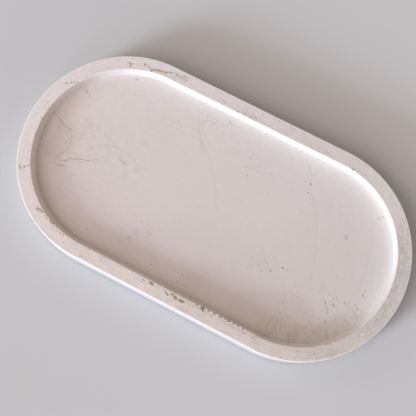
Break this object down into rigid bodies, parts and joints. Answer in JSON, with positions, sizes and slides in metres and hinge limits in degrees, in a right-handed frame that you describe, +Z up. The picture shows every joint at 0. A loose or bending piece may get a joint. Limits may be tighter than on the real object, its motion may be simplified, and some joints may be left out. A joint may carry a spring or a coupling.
{
  "type": "oval tray",
  "caption": "Long oval tray cast in one piece, with a broad flat rim, a shallow flat-floored recess and stick-on rubber feet.",
  "frame": {"origin": "on the surface that the feet stand on, under the middle of the tray", "axes": "+X along the tray, +Y across it towards the back, +Z up out of the recess"},
  "size_m": [0.24, 0.1286, 0.014],
  "materials": {
    "cast_plaster": "matte warm white gypsum casting compound, unsealed, with pin holes and faint olive-brown stains",
    "clear_rubber": "soft, slightly glossy, frosted clear silicone"
  },
  "bodies": {
    "root": {"tray_body": "cast_plaster", "foot_front_left": "clear_rubber", "foot_back_left": "clear_rubber", "foot_front_right": "clear_rubber", "foot_back_right": "clear_rubber"}
  },
  "joints": []
}
